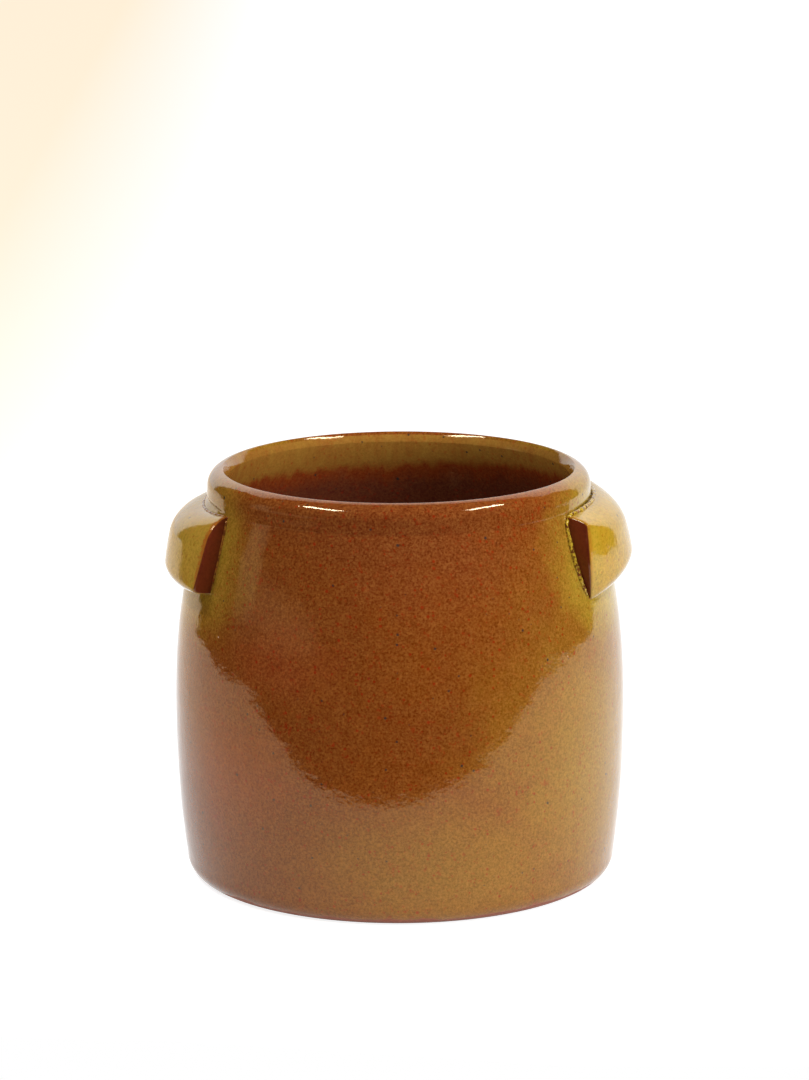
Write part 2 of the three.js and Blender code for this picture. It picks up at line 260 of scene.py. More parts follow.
def piece_from_tree(name, start_mesh, tree, values):
    """Runs a geometry tree on a mesh or curve with the named values, and keeps the plain mesh it makes."""
    start = bpy.data.objects.new(name + "_start", start_mesh)
    bpy.context.scene.collection.objects.link(start)
    maker = start.modifiers.new("maker", "NODES")
    maker.node_group = tree
    for item in tree.interface.items_tree:
        if item.in_out == "INPUT" and item.name in values:
            maker[item.identifier] = values[item.name]
    depsgraph = bpy.context.evaluated_depsgraph_get()
    mesh = bpy.data.meshes.new_from_object(start.evaluated_get(depsgraph), depsgraph=depsgraph)
    mesh.name = name
    bpy.data.objects.remove(start)
    piece = bpy.data.objects.new(name, mesh)
    bpy.context.scene.collection.objects.link(piece)
    return piece


# What the glaze is made of, in the colours it is seen in
def seen(red, green, blue):
    """A colour, 0 to 255 a channel, as a shader takes it."""
    def lift(value):
        value /= 255
        return value / 12.92 if value <= 0.04045 else ((value + 0.055) / 1.055) ** 2.4
    return lift(red), lift(green), lift(blue), 1.0


HONEY = seen(127, 56, 3)
OLIVE = seen(182, 158, 44)
RUST = seen(108, 38, 12)
STRAW = seen(198, 142, 72)
UMBER = seen(34, 12, 4)
RED_FLECK = seen(140, 28, 6)
IRON_FLECK = seen(50, 44, 38)
PINHOLE = seen(205, 160, 120)
BARE_CLAY = seen(148, 80, 60)
CLAY_SHADE = seen(122, 64, 48)
CLAY_CONTACT_SHADE = seen(62, 36, 30)
AMBER = seen(150, 74, 22)
WARM_SHEEN = (1.0, 0.80, 0.50, 1.0)
GLAZE_ROUGHNESS = 0.055
GLAZE_IOR = 1.54


def mix_colours(tree, share, under, over):
    """Lays one colour over another by a mask."""
    node = put(tree, "ShaderNodeMix", {0: share, 6: under, 7: over}, data_type="RGBA", clamp_factor=True)
    return node.outputs[2]


def fleck_group():
    """Masks for what is scattered through the glaze: fine mottle, red flecks, iron specks, pinholes."""
    tree, given, result = new_tree("glaze_flecks", "ShaderNodeTree", [
        ("Vector", "NodeSocketVector", None),
        ("Mottle per metre", "NodeSocketFloat", 850.0),
        ("Red per metre", "NodeSocketFloat", 360.0),
        ("Iron per metre", "NodeSocketFloat", 170.0),
    ], [
        ("Mottle", "NodeSocketFloat"), ("Blotch", "NodeSocketFloat"), ("Cloud", "NodeSocketFloat"),
        ("Red", "NodeSocketFloat"), ("Iron", "NodeSocketFloat"), ("Pinhole", "NodeSocketFloat"),
        ("Run", "NodeSocketFloat"),
    ])
    fine = put(tree, "ShaderNodeTexNoise", {
        "Vector": given["Vector"], "Scale": given["Mottle per metre"], "Detail": 3.0, "Roughness": 0.8,
    })
    mottle = put(tree, "ShaderNodeMapRange", {0: fine.outputs[0], 1: 0.34, 2: 0.66})
    tree.links.new(mottle.outputs[0], result["Mottle"])
    blotches = put(tree, "ShaderNodeTexNoise", {
        "Vector": given["Vector"], "Scale": 125.0, "Detail": 4.0, "Roughness": 0.6,
    })
    blotch = put(tree, "ShaderNodeMapRange", {0: blotches.outputs[0], 1: 0.36, 2: 0.64})
    tree.links.new(blotch.outputs[0], result["Blotch"])
    broad = put(tree, "ShaderNodeTexNoise", {
        "Vector": given["Vector"], "Scale": 34.0, "Detail": 4.0, "Roughness": 0.6,
    })
    cloud = put(tree, "ShaderNodeMapRange", {0: broad.outputs[0], 1: 0.34, 2: 0.68})
    tree.links.new(cloud.outputs[0], result["Cloud"])
    # Runs are the upright streaks that glaze leaves as it melts down the wall
    upright = put(tree, "ShaderNodeVectorMath", {0: given["Vector"], 1: (1.0, 1.0, 0.1)},
                  operation="MULTIPLY")
    runs = put(tree, "ShaderNodeTexNoise", {
        "Vector": upright.outputs[0], "Scale": 210.0, "Detail": 3.0, "Roughness": 0.6,
    })
    run = put(tree, "ShaderNodeMapRange", {0: runs.outputs[0], 1: 0.36, 2: 0.66})
    tree.links.new(run.outputs[0], result["Run"])
    # A fleck is ragged, because its place is shaken by the mottle before its distance is measured
    shaken = put(tree, "ShaderNodeVectorMath", {0: fine.outputs["Color"], 1: (0.0011, 0.0011, 0.0011)},
                 operation="MULTIPLY")
    ragged = put(tree, "ShaderNodeVectorMath", {0: given["Vector"], 1: shaken.outputs[0]}, operation="ADD")
    masks = {}
    for label, scale, small, large in (
        ("Red", given["Red per metre"], 0.06, 0.36),
        ("Iron", given["Iron per metre"], 0.02, 0.17),
        ("Pinhole", 60.0, 0.0, 0.04),
    ):
        cells = put(tree, "ShaderNodeTexVoronoi", {"Vector": ragged.outputs[0], "Scale": scale})
        random = put(tree, "ShaderNodeSeparateColor", {0: cells.outputs["Color"]}).outputs[0]
        # Each cell has its own size of fleck, and in many there is none
        share = maths(tree, "POWER", random, 1.8)
        reach = put(tree, "ShaderNodeMapRange", {0: share, 1: 0.0, 2: 1.0, 3: small, 4: large}).outputs[0]
        near = maths(tree, "DIVIDE", cells.outputs["Distance"], maths(tree, "MAXIMUM", reach, 0.001))
        mask = put(tree, "ShaderNodeMapRange", {0: near, 1: 1.0, 2: 0.45, 3: 0.0, 4: 1.0},
                   interpolation_type="SMOOTHSTEP")
        strength = maths(tree, "ADD", random, 0.15)
        masks[label] = maths(tree, "MULTIPLY", mask.outputs[0], strength, clamp=True)
    # Most of the red lies in small ragged scraps, thicker in some places than in others
    scraps = put(tree, "ShaderNodeTexNoise", {
        "Vector": given["Vector"], "Scale": given["Red per metre"], "Detail": 3.0, "Roughness": 0.65,
    })
    thicker = maths(tree, "SUBTRACT", broad.outputs[0], 0.5)
    thick = maths(tree, "MULTIPLY_ADD", thicker, 0.25, scraps.outputs[0])
    scrap = put(tree, "ShaderNodeMapRange", {0: thick, 1: 0.60, 2: 0.70, 3: 0.0, 4: 0.7})
    tree.links.new(maths(tree, "MAXIMUM", masks["Red"], scrap.outputs[0]), result["Red"])
    tree.links.new(masks["Iron"], result["Iron"])
    tree.links.new(masks["Pinhole"], result["Pinhole"])
    return tree


def wave_group():
    """The height of the glaze's skin: short ripples, an orange-peel dimple and the odd pinhole."""
    tree, given, result = new_tree("glaze_waves", "ShaderNodeTree", [
        ("Vector", "NodeSocketVector", None),
        ("Ripples per metre", "NodeSocketFloat", 240.0),
        ("Pinhole", "NodeSocketFloat", 0.0),
    ], [("Height", "NodeSocketFloat")])
    ripple = put(tree, "ShaderNodeTexNoise", {
        "Vector": given["Vector"], "Scale": given["Ripples per metre"], "Detail": 3.0, "Roughness": 0.6,
    })
    swell = put(tree, "ShaderNodeTexNoise", {"Vector": given["Vector"], "Scale": 70.0, "Detail": 1.0})
    slow = maths(tree, "MULTIPLY", swell.outputs[0], 1.6)
    height = maths(tree, "ADD", ripple.outputs[0], slow)
    tree.links.new(maths(tree, "SUBTRACT", height, given["Pinhole"]), result["Height"])
    return tree


def patch_group():
    """A soft, ragged patch round a place, where a dip of glaze ran thicker or thinner."""
    tree, given, result = new_tree("glaze_patch", "ShaderNodeTree", [
        ("Vector", "NodeSocketVector", None),
        ("Centre", "NodeSocketVector", (0, 0, 0)),
        ("Reach", "NodeSocketVector", (1, 1, 1)),
        ("Core", "NodeSocketFloat", 0.3),
        ("Raggedness", "NodeSocketFloat", 0.3),
    ], [("Mask", "NodeSocketFloat")])
    off = put(tree, "ShaderNodeVectorMath", {0: given["Vector"], 1: given["Centre"]}, operation="SUBTRACT")
    scaled = put(tree, "ShaderNodeVectorMath", {0: off.outputs[0], 1: given["Reach"]}, operation="DIVIDE")
    distance = put(tree, "ShaderNodeVectorMath", {0: scaled.outputs[0]}, operation="LENGTH")
    noise = put(tree, "ShaderNodeTexNoise", {
        "Vector": given["Vector"], "Scale": 55.0, "Detail": 5.0, "Roughness": 0.65,
    })
    shift = maths(tree, "MULTIPLY", maths(tree, "SUBTRACT", noise.outputs[0], 0.5), given["Raggedness"])
    edge = maths(tree, "ADD", distance.outputs["Value"], shift)
    mask = put(tree, "ShaderNodeMapRange", {0: edge, 1: given["Core"], 2: 1.0, 3: 1.0, 4: 0.0},
               interpolation_type="SMOOTHSTEP")
    tree.links.new(mask.outputs[0], result["Mask"])
    return tree


FLECKS = fleck_group()
WAVES = wave_group()
PATCH = patch_group()


def new_glaze(name):
    """A material with one glossy shader, and the place on the piece to paint by."""
    material = bpy.data.materials.new(name)
    material.use_nodes = True
    tree = material.node_tree
    tree.nodes.clear()
    shader = put(tree, "ShaderNodeBsdfPrincipled", {
        "Roughness": GLAZE_ROUGHNESS, "IOR": GLAZE_IOR, "Specular Tint": WARM_SHEEN,
    })
    put(tree, "ShaderNodeOutputMaterial", {"Surface": shader.outputs[0]})
    place = put(tree, "ShaderNodeTexCoord").outputs["Object"]
    return material, tree, shader, place


def group_node(tree, group, feeds):
    return put(tree, "ShaderNodeGroup", feeds, node_tree=group).outputs


def patches(tree, place, spots):
    """The strongest of several patches, each (centre, reach, core, raggedness, strength), at each place."""
    total = 0.0
    for centre, reach, core, ragged, strength in spots:
        mask = group_node(tree, PATCH, {
            "Vector": place, "Centre": centre, "Reach": reach, "Core": core, "Raggedness": ragged,
        })["Mask"]
        total = maths(tree, "MAXIMUM", maths(tree, "MULTIPLY", mask, strength), total)
    return total


def speckle_over(tree, colour, flecks, red=0.65, mottle=1.0):
    """Lays the mottle, red flecks, iron specks and pinholes over a ground colour."""
    pale = maths(tree, "MULTIPLY_ADD", flecks["Blotch"], 0.07, 0.16)
    light = mix_colours(tree, pale, colour, STRAW)
    dark = mix_colours(tree, 0.42, colour, UMBER)
    spread = mix_colours(tree, flecks["Mottle"], dark, light)
    colour = mix_colours(tree, mottle, colour, spread)
    colour = mix_colours(tree, maths(tree, "MULTIPLY", flecks["Red"], red), colour, RED_FLECK)
    colour = mix_colours(tree, maths(tree, "MULTIPLY", flecks["Iron"], 0.9), colour, IRON_FLECK)
    return mix_colours(tree, maths(tree, "MULTIPLY", flecks["Pinhole"], 0.8), colour, PINHOLE)


def finish_glaze(tree, shader, colour, place, flecks, wave_depth=0.000095, ripples=240.0,
                 roughness=GLAZE_ROUGHNESS, bare=None):
    """Feeds the shader: colour, a roughness that drifts and is high where bare, and the skin's waves."""
    tree.links.new(colour, shader.inputs["Base Color"])
    drift = maths(tree, "MULTIPLY_ADD", flecks["Cloud"], 0.03, roughness - 0.015)
    if bare is not None:
        drift = maths(tree, "MULTIPLY_ADD", bare, 0.55, drift)
    tree.links.new(drift, shader.inputs["Roughness"])
    height = group_node(tree, WAVES, {
        "Vector": place, "Ripples per metre": ripples, "Pinhole": flecks["Pinhole"],
    })["Height"]
    bump = put(tree, "ShaderNodeBump", {"Strength": 1.0, "Distance": wave_depth, "Height": height})
    tree.links.new(bump.outputs[0], shader.inputs["Normal"])


# Where the glaze fired olive on the wall, by the ears, and where it fired to rust or a cloudy red; the rust
# over the front of the lip is partly painted shade.
# A patch is its centre, its reach along each axis, its core, its raggedness and its strength.
OLIVE_ON_WALL = [
    ((-0.100, -0.022, 0.165), (0.056, 0.080, 0.054), 0.25, 0.5, 0.66),
    ((0.102, -0.024, 0.165), (0.054, 0.084, 0.060), 0.25, 0.5, 0.95),
    ((-0.090, 0.060, 0.165), (0.080, 0.100, 0.060), 0.25, 0.5, 0.7),
    ((0.090, 0.060, 0.165), (0.080, 0.100, 0.060), 0.25, 0.5, 0.8),
    ((0.110, -0.050, 0.070), (0.120, 0.130, 0.140), 0.0, 0.5, 0.46),
    ((0.040, -0.100, 0.025), (0.110, 0.090, 0.055), 0.1, 0.5, 0.24),
]
RUST_AND_LIP_SHADE_ON_WALL = [
    ((-0.065, -0.085, 0.140), (0.080, 0.080, 0.085), 0.1, 0.6, 0.28),
    # Partly real rust and partly painted shade: it darkens the upward-facing front of the lip, which the
    # lamps overhead light more than the wall
    ((0.0, -0.095, 0.188), (0.095, 0.050, 0.050), 0.1, 0.6, 0.80),
    ((-0.060, -0.090, 0.050), (0.080, 0.080, 0.100), 0.0, 0.6, 0.32),
    ((-0.040, -0.080, 0.190), (0.080, 0.060, 0.020), 0.2, 0.5, 0.65),
]
RED_CLOUDS = [
    ((-0.080, -0.075, 0.070), (0.050, 0.060, 0.050), 0.1, 1.3, 0.55),
    ((-0.055, -0.090, 0.125), (0.040, 0.040, 0.030), 0.1, 1.3, 0.45),
    ((0.015, -0.105, 0.165), (0.050, 0.040, 0.030), 0.1, 1.3, 0.12),
]
CLOUD_RED = seen(150, 58, 26)
INSIDE_OLIVE = seen(150, 106, 40)
INSIDE_RUST = seen(126, 46, 14)
INSIDE_DARK = seen(92, 36, 26)
OLIVE_DOWN_TO = (0.183, 0.189)
RUST_DOWN_TO = (0.173, 0.185)
GLAZE_LINE = 0.0020
FOOT_CONTACT_SHADE = (0.0006, 0.0014)


def pot_glaze():
    material, tree, shader, place = new_glaze("honey_glaze_on_wall")
    flecks = group_node(tree, FLECKS, {"Vector": place})
    colour = mix_colours(tree, maths(tree, "MULTIPLY", flecks["Cloud"], 0.35), HONEY, RUST)
    colour = mix_colours(tree, patches(tree, place, RUST_AND_LIP_SHADE_ON_WALL), colour, RUST)
    colour = mix_colours(tree, patches(tree, place, RED_CLOUDS), colour, CLOUD_RED)
    colour = mix_colours(tree, patches(tree, place, OLIVE_ON_WALL), colour, OLIVE)
    # Inside: an olive band under the lip runs down into a dark rust deeper in; this is partly the glaze's
    # colour and partly painted shade of the pot's depth
    height = put(tree, "ShaderNodeSeparateXYZ", {0: place}).outputs["Z"]
    wander = maths(tree, "MULTIPLY_ADD", flecks["Run"], 0.0034, height)
    wander = maths(tree, "MULTIPLY_ADD", flecks["Cloud"], 0.0025, wander)
    # Painted shade: the olive band ends higher on the right, darkening the inner wall that is turned from
    # the light
    rightward = maths(tree, "MAXIMUM", put(tree, "ShaderNodeSeparateXYZ", {0: place}).outputs["X"], 0.0)
    wander = maths(tree, "MULTIPLY_ADD", rightward, -0.08, wander)
    olive = put(tree, "ShaderNodeMapRange", {0: wander, 1: OLIVE_DOWN_TO[0], 2: OLIVE_DOWN_TO[1]},
                interpolation_type="SMOOTHSTEP")
    rust = put(tree, "ShaderNodeMapRange", {0: wander, 1: RUST_DOWN_TO[0], 2: RUST_DOWN_TO[1]},
               interpolation_type="SMOOTHSTEP")
    within = mix_colours(tree, rust.outputs[0], INSIDE_DARK, INSIDE_RUST)
    streaked = mix_colours(tree, maths(tree, "MULTIPLY", flecks["Run"], 0.35), INSIDE_OLIVE, INSIDE_RUST)
    within = mix_colours(tree, olive.outputs[0], within, streaked)
    within = speckle_over(tree, within, flecks, red=0.4, mottle=0.5)
    inside = put(tree, "ShaderNodeAttribute", attribute_name="inside").outputs["Fac"]
    colour = mix_colours(tree, inside, speckle_over(tree, colour, flecks), within)
    # The foot: glaze stops at a wavy line, and the clay below it is bare
    line = maths(tree, "MULTIPLY_ADD", flecks["Cloud"], 0.0024, GLAZE_LINE)
    bare = put(tree, "ShaderNodeMapRange", {0: maths(tree, "SUBTRACT", line, height), 1: 0.0, 2: 0.0004})
    outside = maths(tree, "SUBTRACT", 1.0, inside)
    bare_mask = maths(tree, "MULTIPLY", bare.outputs[0], outside)
    clay = mix_colours(tree, flecks["Mottle"], BARE_CLAY, CLAY_SHADE)
    # Painted contact shadow: the bare foot darkens to near black over its lowest 1.4 mm, where it meets the
    # table
    contact_shade = put(tree, "ShaderNodeMapRange", {0: height, 1: FOOT_CONTACT_SHADE[0], 2: FOOT_CONTACT_SHADE[1], 3: 1.0, 4: 0.0})
    clay = mix_colours(tree, contact_shade.outputs[0], clay, CLAY_CONTACT_SHADE)
    colour = mix_colours(tree, bare_mask, colour, clay)
    finish_glaze(tree, shader, colour, place, flecks, bare=bare_mask)
    return material


LIP_POINTS_OUTSIDE = 6


def outline_mesh():
    inner = pot_inside()
    outer = pot_outside()
    points = inner + outer
    mesh = bpy.data.meshes.new("pot_outline")
    mesh.from_pydata([(r, 0, z) for r, z in points], [(i, i + 1) for i in range(len(points) - 1)], [])
    side = mesh.attributes.new("inside", "FLOAT", "POINT")
    for i in range(len(points)):
        side.data[i].value = 1.0 if i < len(inner) - LIP_POINTS_OUTSIDE else 0.0
    return mesh


pot = piece_from_tree("thrown_pot", outline_mesh(), turn_on_the_wheel(), {
    "Steps round": 480,
    "Ring depth": 0.00022,
    "Ring spacing": 0.011,
    "Swell depth": 0.00010,
    "Swell width": 0.022,
    "Groove depth": GROOVE_DEPTH,
    "Groove height": (NECK_HEIGHT + COLLAR_BOTTOM) / 2,
    "Groove width": 0.0021,
    "Seed": 3.0,
    "Glaze": pot_glaze(),
})
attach(pot, "root")
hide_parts("pot_body")

# ----------------------------------------------------------------------
# The ears: two slabs of the same clay, pressed on the shoulder and cut off square with a wire, so
# each has a flat end towards the front and the back. Glaze fired olive on them and broke to amber
# along the cut edges. Each is lofted through upright sections that turn about the axis.
# ----------------------------------------------------------------------
# Angles in degrees about Z from +X. A section is its low and high joint with the wall, sole, crown and
# swell, then share and power of the rounded low edge, and share and power of the rounded top edge.
LEFT_EAR = {
    "from_angle": 153, "to_angle": 209.8, "rake": 0.0, "bow": 1.0,
    "from": (0.1465, 0.183, 0.0085, 0.0092, 0.001, 0.2, 0.7, 0.34, 0.6),
    "middle": (0.1447, 0.1832, 0.0102, 0.0132, 0.0006, 0.3, 1.05, 0.34, 0.5),
    "to": (0.1495, 0.1862, 0.0104, 0.0082, 0.0006, 0.1, 0.5, 0.3, 0.5),
}
RIGHT_EAR = {
    "from_angle": -31.2, "to_angle": 31, "rake": 1.4, "bow": 2.2,
    "from": (0.146, 0.1862, 0.0008, 0.0118, 0.0024, 0.03, 0.5, 0.08, 0.5),
    "middle": (0.147, 0.1868, 0.0112, 0.0126, 0.0006, 0.38, 1.1, 0.34, 0.5),
    "to": (0.147, 0.1884, 0.008, 0.0124, 0.001, 0.25, 0.7, 0.14, 0.45),
}
EAR_ROOT = 0.003
END_REACH = 2.2
CUT_ROUND = 0.0014
CUT_ROUND_ANGLE = 0.8
EAR_STEPS = 64
SECTION_STEPS = 56
ROUND_STEPS = 5
CAP_STEPS = 8
EAR_INSET = ROOM_FOR_GLAZE * 1.6
AMBER_WIDTH = 0.0036
CUT_WRAP = 3


def shoulder_radius(height):
    """The wall's outside radius at a height on the shoulder."""
    below, above = 0.0, 1.0
    for _ in range(30):
        middle = (below + above) / 2
        if along_curve(UPPER_WALL, middle)[1] < height:
            below = middle
        else:
            above = middle
    return along_curve(UPPER_WALL, below)[0]


def ear_shape(ear, along):
    """Low and high joint, sole, crown, swell, and the two rounded edges, at a share of the way along."""
    end = ear["from"] if along < 0.5 else ear["to"]
    share = abs(2 * along - 1) ** END_REACH
    return [a * (1 - share) + b * share for a, b in zip(ear["middle"], end)]


def rounded_edge(distance, edge, power):
    return 1.0 if distance >= edge else (1 - (1 - distance / edge) ** 2) ** power


def ear_section(ear, along, inset):
    """An upright section as (radius, height, share of the height): up the face, then down the root."""
    low, high, sole, crown, swell, low_edge, low_power, high_edge, high_power = ear_shape(ear, along)
    low += inset
    high -= inset
    face = []
    root = []
    for i in range(SECTION_STEPS + 1):
        share = (1 - math.cos(math.pi * i / SECTION_STEPS)) / 2
        height = low + (high - low) * share
        wall_radius = shoulder_radius(height)
        thick = sole + (crown - sole) * share + swell * 4 * share * (1 - share)
        thick *= rounded_edge(share, low_edge, low_power) * rounded_edge(1 - share, high_edge, high_power)
        proud = max(thick - inset - EAR_INSET, 0)
        face.append((wall_radius + proud, height, share))
        root.append((wall_radius - EAR_ROOT, height, share))
    return face + root[::-1]


def cut_lean(ear, along, share):
    """The cut ends lean by the rake from bottom to top, and bow outward at half their height."""
    return (2 * along - 1) * (ear["rake"] * (2 * share - 1) + ear["bow"] * 4 * share * (1 - share))


def ear_ring(ear, angle, along, inset):
    ring = []
    for radius, height, share in ear_section(ear, along, inset):
        turn = math.radians(angle + cut_lean(ear, along, share))
        ring.append(Vector((radius * math.cos(turn), radius * math.sin(turn), height)))
    return ring


def ear_piece(name, ear, material):
    """Lofts the rings, rounds both cut edges and closes each end in level strips."""
    first, last = ear["from_angle"], ear["to_angle"]
    rounding = []
    for i in range(ROUND_STEPS):
        turn = math.pi / 2 * i / ROUND_STEPS
        rounding.append((CUT_ROUND_ANGLE * (1 - math.cos(turn)), CUT_ROUND * (1 - math.sin(turn))))
    rings = [(first + angle, 0.0, inset) for angle, inset in rounding]
    for i in range(EAR_STEPS + 1):
        along = i / EAR_STEPS
        start = first + CUT_ROUND_ANGLE
        rings.append((start + (last - CUT_ROUND_ANGLE - start) * along, along, 0.0))
    rings += [(last - angle, 1.0, inset) for angle, inset in rounding[::-1]]
    points = []
    faces = []
    cut = []
    edge = []
    # Each point knows whether it is on a cut face, and the outer face how near it is to a cut edge
    for place, (angle, along, inset) in enumerate(rings):
        on_cut = place < CUT_WRAP or place >= len(rings) - CUT_WRAP
        away = math.radians(min(angle - first, last - angle)) * BELLY_RADIUS
        ring = ear_ring(ear, angle, along, inset)
        sides = len(ring)
        for side, point in enumerate(ring):
            points.append(point)
            cut.append(1.0 if on_cut else 0.0)
            edge.append(max(0.0, 1 - away / AMBER_WIDTH) if side < sides // 2 and not on_cut else 0.0)
            if place:
                a = (place - 1) * sides + side
                b = (place - 1) * sides + (side + 1) % sides
                faces.append((a, a + sides, b + sides, b))
    last_ring = (len(rings) - 1) * sides
    for ring_start, turned in ((0, False), (last_ring, True)):
        rows = []
        for level in range(sides // 2):
            outer, inner = ring_start + level, ring_start + sides - 1 - level
            between = []
            for step in range(1, CAP_STEPS):
                between.append(len(points))
                points.append(points[outer].lerp(points[inner], step / CAP_STEPS))
                cut.append(1.0)
                edge.append(0.0)
            rows.append([outer, *between, inner])
        for below, above in zip(rows, rows[1:]):
            for step in range(CAP_STEPS):
                corners = (below[step], above[step], above[step + 1], below[step + 1])
                faces.append(corners[::-1] if turned else corners)
    mesh = bpy.data.meshes.new(name)
    mesh.from_pydata(points, [], faces)
    mesh.shade_smooth()
    mesh.attributes.new("cut", "FLOAT", "POINT").data.foreach_set("value", cut)
    mesh.attributes.new("edge", "FLOAT", "POINT").data.foreach_set("value", edge)
    mesh.materials.append(material)
    piece = bpy.data.objects.new(name, mesh)
    bpy.context.scene.collection.objects.link(piece)
    return piece


CUT_BROWN = seen(102, 40, 20)
CUT_DARK = seen(70, 26, 14)
EAR_LOOKS = {
    "left": {"ground": seen(190, 150, 52), "amber": 0.85},
    "right": {"ground": seen(190, 152, 30), "amber": 0.40},
}
EAR_ROUGHNESS = 0.10
AMBER_FROM = (0.150, 0.176)


def ear_glaze(side):
    looks = EAR_LOOKS[side]
    material, tree, shader, place = new_glaze(side + "_ear_gold_glaze")
    flecks = group_node(tree, FLECKS, {"Vector": place, "Mottle per metre": 620.0})
    colour = mix_colours(tree, maths(tree, "MULTIPLY", flecks["Cloud"], 0.25), looks["ground"], HONEY)
    colour = mix_colours(tree, maths(tree, "MULTIPLY", flecks["Run"], 0.35), colour, OLIVE)
    colour = speckle_over(tree, colour, flecks, red=0.35)
    # Glaze breaks to amber in streaks where it runs thin along the cut edges, most of all high up
    edge = put(tree, "ShaderNodeAttribute", attribute_name="edge").outputs["Fac"]
    height = put(tree, "ShaderNodeSeparateXYZ", {0: place}).outputs["Z"]
    high = put(tree, "ShaderNodeMapRange", {
        0: height, 1: AMBER_FROM[0], 2: AMBER_FROM[1], 3: -0.30, 4: 0.25,
    })
    streaks = maths(tree, "SUBTRACT", flecks["Mottle"], 0.5)
    uneven = maths(tree, "MULTIPLY_ADD", streaks, 0.7, high.outputs[0])
    amber = put(tree, "ShaderNodeMapRange", {
        0: maths(tree, "ADD", edge, uneven), 1: 0.35, 2: 0.75, 4: looks["amber"],
    })
    colour = mix_colours(tree, amber.outputs[0], colour, AMBER)
    # A cut face is coloured a dark red brown, mottled towards a darker brown
    cut = put(tree, "ShaderNodeAttribute", attribute_name="cut").outputs["Fac"]
    bare = mix_colours(tree, maths(tree, "MULTIPLY", flecks["Mottle"], 0.5), CUT_BROWN, CUT_DARK)
    colour = mix_colours(tree, cut, colour, bare)
    finish_glaze(tree, shader, colour, place, flecks, wave_depth=0.00014, ripples=170.0,
                 roughness=EAR_ROUGHNESS)
    return material


for side, ear in (("left", LEFT_EAR), ("right", RIGHT_EAR)):
    piece = ear_piece(side + "_ear_slab", ear, ear_glaze(side))
    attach(piece, "root")
    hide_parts(side + "_ear")

# ----------------------------------------------------------------------
# The luting beads: a thin coil of soft clay and slip pressed with a fingertip into the joint of
# each ear, up one cut end, over the top and down the other. Glaze pooled on it, olive and speckled.
# ----------------------------------------------------------------------
BEADS = {
    "left": {"radius": 0.0006, "stand": 0.0, "aside": 0.0002, "unevenness": 0.7, "seed": 4.0,
             "low": seen(104, 56, 22), "high": seen(146, 92, 32)},
    "right": {"radius": 0.0011, "stand": 0.2, "aside": 0.0010, "unevenness": 0.9, "seed": 9.0,
              "low": seen(96, 50, 22), "high": seen(186, 156, 44)},
}
BEAD_LOW_END = 0.06
BEAD_HIGH_TURN = 0.92
BEAD_CORNER = 0.03
BEAD_STEP = 0.0006


def bead_path(ear, stand, aside):
    """The corner between an ear and the wall, as points a little proud of it."""
    up = [BEAD_LOW_END + (BEAD_HIGH_TURN - BEAD_LOW_END) * i / 9 for i in range(10)]
    across = [BEAD_CORNER + (1 - 2 * BEAD_CORNER) * i / 24 for i in range(25)]
    places = [(0.0, share) for share in up] + [(along, 1.0) for along in across]
    places += [(1.0, share) for share in up[::-1]]
    path = []
    for along, share in places:
        low, high = ear_shape(ear, along)[:2]
        on_top = share == 1.0
        height = low + (high - low) * share + (stand if on_top else 0)
        past = 0 if on_top else math.copysign(math.degrees(aside / BELLY_RADIUS), along - 0.5)
        angle = ear["from_angle"] + (ear["to_angle"] - ear["from_angle"]) * along + past
        turn = math.radians(angle + cut_lean(ear, along, share))
        radius = shoulder_radius(height) + stand
        path.append(Vector((radius * math.cos(turn), radius * math.sin(turn), height)))
    return path


def coil_tree():
    """Geometry nodes that lay an uneven, finger-pressed coil of clay along a path."""
    tree, given, result = new_tree("pressed_coil", "GeometryNodeTree", [
        ("Path", "NodeSocketGeometry", None),
        ("Coil radius", "NodeSocketFloat", 0.001),
        ("Unevenness", "NodeSocketFloat", 0.3),
        ("Step", "NodeSocketFloat", 0.0006),
        ("Seed", "NodeSocketFloat", 0.0),
        ("Glaze", "NodeSocketMaterial", None),
    ], [("Mesh", "NodeSocketGeometry")])
    fine = put(tree, "GeometryNodeResampleCurve", {0: given["Path"], "Length": given["Step"]},
               mode="LENGTH")
    position = put(tree, "GeometryNodeInputPosition").outputs[0]
    noise = put(tree, "ShaderNodeTexNoise", {
        "Vector": position, "W": given["Seed"], "Scale": 260.0, "Detail": 3.0,
    }, noise_dimensions="4D")
    wobble = maths(tree, "MULTIPLY", maths(tree, "SUBTRACT", noise.outputs[0], 0.5), given["Unevenness"])
    share = put(tree, "GeometryNodeSplineParameter").outputs["Factor"]
    # Both ends taper out where the finger left the joint
    from_end = maths(tree, "MINIMUM", share, maths(tree, "SUBTRACT", 1.0, share))
    taper = maths(tree, "MINIMUM", maths(tree, "MULTIPLY", from_end, 22.0), 1.0)
    uneven = maths(tree, "MULTIPLY_ADD", wobble, 2.0, 1.0)
    swing = maths(tree, "MULTIPLY", uneven, maths(tree, "SQRT", taper))
    thick = maths(tree, "MULTIPLY", swing, given["Coil radius"])
    sized = put(tree, "GeometryNodeSetCurveRadius", {
        0: fine.outputs[0], "Radius": maths(tree, "MAXIMUM", thick, 1e-5),
    })
    ring = put(tree, "GeometryNodeCurvePrimitiveCircle", {"Resolution": 14, "Radius": 1.0})
    coil = put(tree, "GeometryNodeCurveToMesh", {
        "Curve": sized.outputs[0], "Profile Curve": ring.outputs[0], "Fill Caps": True,
        "Scale": put(tree, "GeometryNodeInputRadius").outputs[0],
    })
    smooth = put(tree, "GeometryNodeSetShadeSmooth", {0: coil.outputs[0]})
    real = put(tree, "GeometryNodeRealizeInstances", {0: smooth.outputs[0]})
    glazed = put(tree, "GeometryNodeSetMaterial", {0: real.outputs[0], "Material": given["Glaze"]})
    tree.links.new(glazed.outputs[0], result[0])
    return tree


